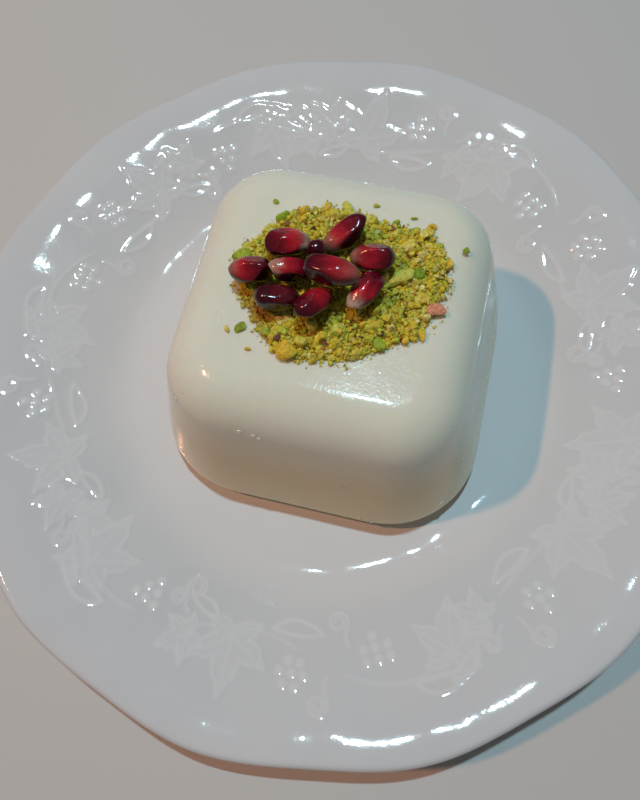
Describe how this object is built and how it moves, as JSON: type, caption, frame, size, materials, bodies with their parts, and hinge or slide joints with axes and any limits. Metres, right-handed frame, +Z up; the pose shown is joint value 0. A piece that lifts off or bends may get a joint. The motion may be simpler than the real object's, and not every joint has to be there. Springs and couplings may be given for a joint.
{
  "type": "milk pudding",
  "caption": "Square moulded milk pudding on a round porcelain plate with a raised vine pattern on its rim, topped with ground pistachio and pomegranate arils.",
  "frame": {"origin": "centre of the plate, on the surface that its foot ring stands on", "axes": "+Z up; +X and +Y square to the pudding's sides, with the pictured front facing -Y and a little +X"},
  "size_m": [0.2058, 0.2058, 0.0652],
  "materials": {
    "porcelain": "clear gloss glaze",
    "milk_pudding": "moist satin, slightly translucent",
    "pistachio": "dry, ground",
    "pomegranate": "wet gloss, translucent"
  },
  "bodies": {
    "root": {"plate": "porcelain", "pudding": "milk_pudding", "pistachio_crumbs": "pistachio", "aril_01": "pomegranate", "aril_02": "pomegranate", "aril_03": "pomegranate", "aril_04": "pomegranate", "aril_05": "pomegranate", "aril_06": "pomegranate", "aril_07": "pomegranate", "aril_08": "pomegranate", "aril_09": "pomegranate", "aril_10": "pomegranate"}
  },
  "joints": []
}
